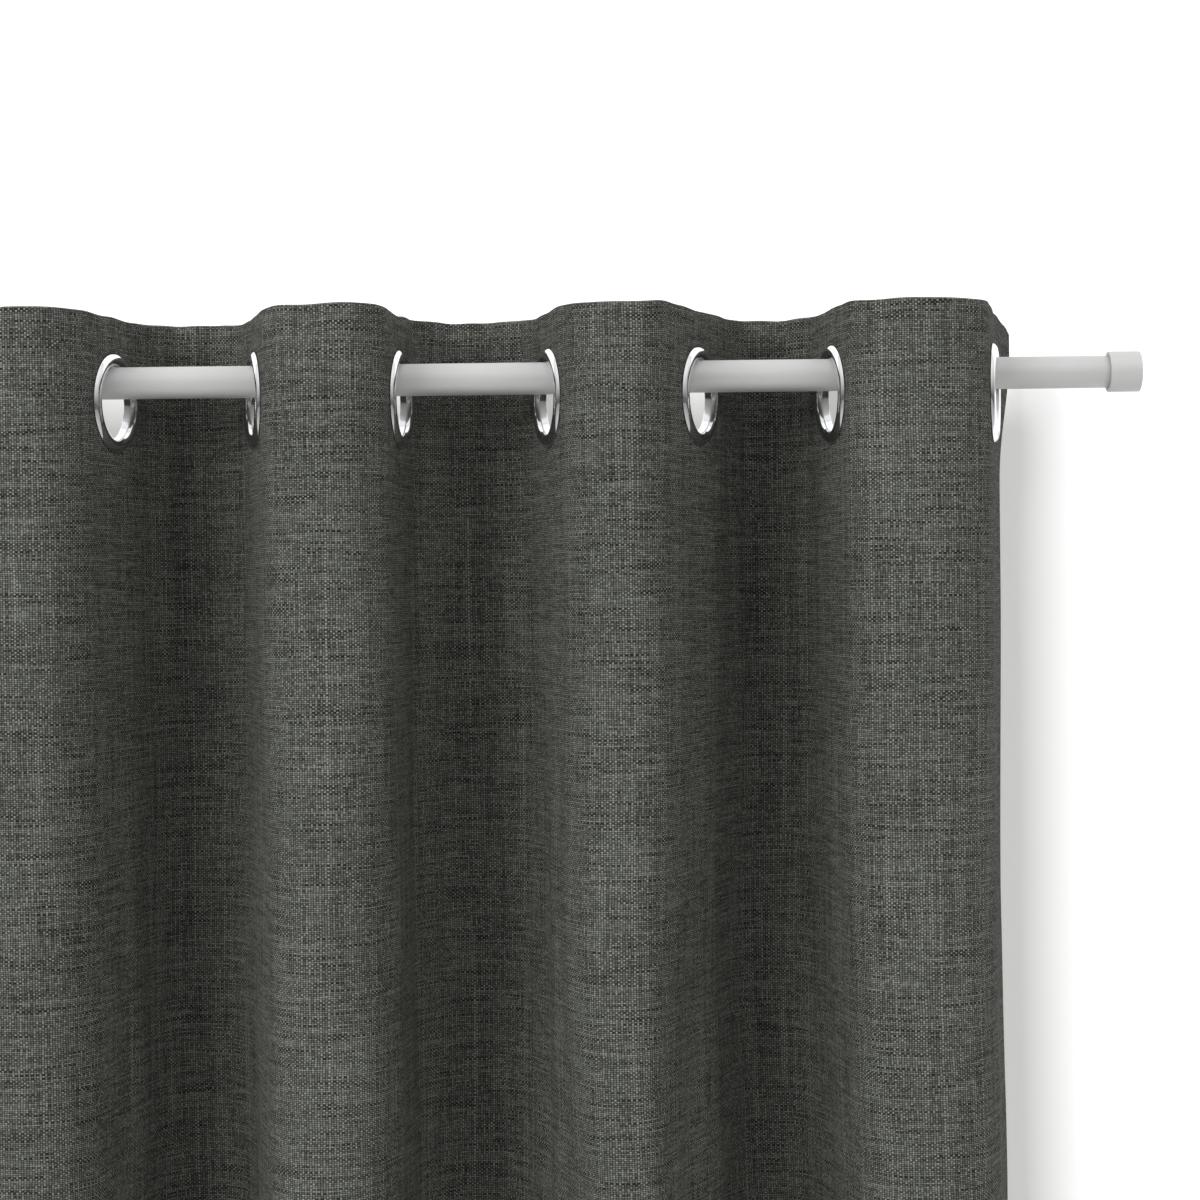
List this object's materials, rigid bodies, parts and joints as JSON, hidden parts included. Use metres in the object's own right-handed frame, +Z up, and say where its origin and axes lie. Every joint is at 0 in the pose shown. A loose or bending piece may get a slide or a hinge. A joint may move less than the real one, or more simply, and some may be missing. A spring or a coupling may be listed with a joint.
{
  "type": "eyelet curtain panel",
  "caption": "Full-length woven room curtain panel with metal eyelets, hung in even waves on a slim steel rod with plain end caps.",
  "frame": {"origin": "on the rod's axis at the left bracket seat, seen from the room", "axes": "+X along the rod to the right seen from the room, -Y towards the room, +Y towards the wall, +Z up"},
  "size_m": [0.7831, 0.1455, 2.134],
  "materials": {
    "rod_steel": "satin brushed along the rod",
    "cap_steel": "satin",
    "eyelet_chrome": "polished",
    "eyelet_backing": "polished",
    "face_fabric": "charcoal linen-look slub weave",
    "lining": "plain cotton lining",
    "heading_tape": "stiff woven tape",
    "weight_steel": "dull plated",
    "label": "blank satin ribbon"
  },
  "bodies": {
    "rod": {"rod_tube": "rod_steel"},
    "cap_left": {"end_cap_left": "cap_steel"},
    "cap_right": {"end_cap_right": "cap_steel"},
    "panel": {"face_fabric": "face_fabric", "lining": "lining", "heading_tape": "heading_tape", "hem_weight_right": "weight_steel", "care_label": "label", "eyelet_8_face": "eyelet_chrome", "eyelet_8_back": "eyelet_backing"},
    "eyelet_1": {"eyelet_1_face": "eyelet_chrome", "eyelet_1_back": "eyelet_backing", "hem_weight_left": "weight_steel"},
    "eyelet_2": {"eyelet_2_face": "eyelet_chrome", "eyelet_2_back": "eyelet_backing"},
    "eyelet_3": {"eyelet_3_face": "eyelet_chrome", "eyelet_3_back": "eyelet_backing"},
    "eyelet_4": {"eyelet_4_face": "eyelet_chrome", "eyelet_4_back": "eyelet_backing"},
    "eyelet_5": {"eyelet_5_face": "eyelet_chrome", "eyelet_5_back": "eyelet_backing"},
    "eyelet_6": {"eyelet_6_face": "eyelet_chrome", "eyelet_6_back": "eyelet_backing"},
    "eyelet_7": {"eyelet_7_face": "eyelet_chrome", "eyelet_7_back": "eyelet_backing"}
  },
  "joints": [
    {"name": "swing", "type": "hinge", "parent": "rod", "child": "panel", "pos_m": [0, 0, 0], "axis": [-1, 0, 0], "range_deg": [-2, 12]},
    {"name": "draw", "type": "slide", "parent": "panel", "child": "eyelet_1", "axis": [1, 0, 0], "range_m": [0, 0.3338], "deforming": ["face_fabric", "lining", "heading_tape", "care_label"]},
    {"name": "eyelet_2_slide", "type": "slide", "parent": "panel", "child": "eyelet_2", "axis": [1, 0, 0], "range_m": [0, 0.28659]},
    {"name": "eyelet_3_slide", "type": "slide", "parent": "panel", "child": "eyelet_3", "axis": [1, 0, 0], "range_m": [0, 0.23938]},
    {"name": "eyelet_4_slide", "type": "slide", "parent": "panel", "child": "eyelet_4", "axis": [1, 0, 0], "range_m": [0, 0.1936]},
    {"name": "eyelet_5_slide", "type": "slide", "parent": "panel", "child": "eyelet_5", "axis": [1, 0, 0], "range_m": [0, 0.14353]},
    {"name": "eyelet_6_slide", "type": "slide", "parent": "panel", "child": "eyelet_6", "axis": [1, 0, 0], "range_m": [0, 0.09585]},
    {"name": "eyelet_7_slide", "type": "slide", "parent": "panel", "child": "eyelet_7", "axis": [1, 0, 0], "range_m": [0, 0.05102]},
    {"name": "cap_left_pull", "type": "slide", "parent": "rod", "child": "cap_left", "axis": [-1, 0, 0], "range_m": [0, 0.03]},
    {"name": "cap_right_pull", "type": "slide", "parent": "rod", "child": "cap_right", "axis": [1, 0, 0], "range_m": [0, 0.03]}
  ],
  "couplings": [
    {"joint": "eyelet_2_slide", "follows": "draw", "ratio": 0.85857},
    {"joint": "eyelet_3_slide", "follows": "draw", "ratio": 0.71714},
    {"joint": "eyelet_4_slide", "follows": "draw", "ratio": 0.58},
    {"joint": "eyelet_5_slide", "follows": "draw", "ratio": 0.43},
    {"joint": "eyelet_6_slide", "follows": "draw", "ratio": 0.28714},
    {"joint": "eyelet_7_slide", "follows": "draw", "ratio": 0.15286}
  ]
}
